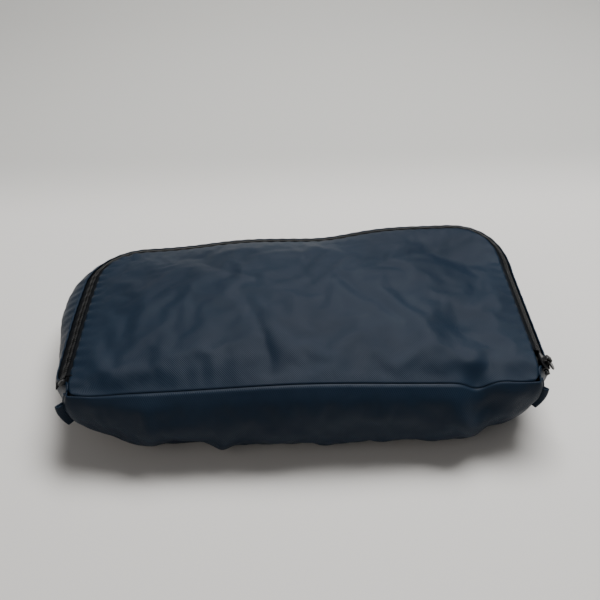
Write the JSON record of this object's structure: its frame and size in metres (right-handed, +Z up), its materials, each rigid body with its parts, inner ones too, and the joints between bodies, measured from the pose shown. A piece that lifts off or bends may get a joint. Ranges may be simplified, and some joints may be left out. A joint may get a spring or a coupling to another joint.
{
  "type": "travel document organizer",
  "caption": "Soft navy zip pouch for travel papers: crowned lid sewn along the front, coil zip on the other three sides, ring pull, flat pockets inside.",
  "frame": {"origin": "middle of the flat face that the pouch rests on", "axes": "+X along the length, with the zip slider at the +X end; +Y from the sewn front seam to the back; +Z up"},
  "size_m": [0.3036, 0.1616, 0.0702],
  "materials": {
    "navy_shell": "woven, faint sheen",
    "lining": "plain woven",
    "zip_tape": "woven tape",
    "zip_coil": "moulded coil",
    "mesh_cloth": "open mesh",
    "black_metal": "gloss black"
  },
  "bodies": {
    "case": {"base_panel": "navy_shell", "front_wall": "navy_shell", "zip_gusset": "navy_shell", "corner_binding_left": "navy_shell", "corner_binding_right": "navy_shell", "base_lining": "lining", "front_wall_lining": "lining", "gusset_lining": "lining", "document_sleeve": "lining", "card_pocket_1": "lining", "card_pocket_2": "lining", "card_pocket_3": "lining", "base_binding": "zip_tape", "front_seam_binding": "zip_tape", "left_tab": "zip_tape", "right_tab": "zip_tape", "zip_tape_case": "zip_tape", "sleeve_binding": "zip_tape", "zip_coil_case": "zip_coil", "zip_bottom_stop": "black_metal", "zip_top_stop": "black_metal"},
    "lid": {"lid_panel": "navy_shell", "lid_lining": "lining", "lid_binding": "zip_tape", "zip_tape_lid": "zip_tape", "zip_coil_lid": "zip_coil", "lid_pocket": "mesh_cloth", "lid_pocket_hem": "zip_tape"},
    "slider": {"zip_slider": "black_metal"},
    "ring": {"pull_ring": "black_metal"}
  },
  "joints": [
    {"name": "lid_hinge", "type": "hinge", "parent": "case", "child": "lid", "pos_m": [0, -0.072, 0.0506], "axis": [1, 0, 0], "range_deg": [0, 165]},
    {"name": "zip_slide", "type": "slide", "parent": "case", "child": "slider", "axis": [0, 1, 0], "range_m": [0, 0.082]},
    {"name": "pull_swing", "type": "hinge", "parent": "slider", "child": "ring", "pos_m": [0.13951, -0.058, 0.05307], "axis": [0, -1, 0], "range_deg": [0, 140]}
  ]
}
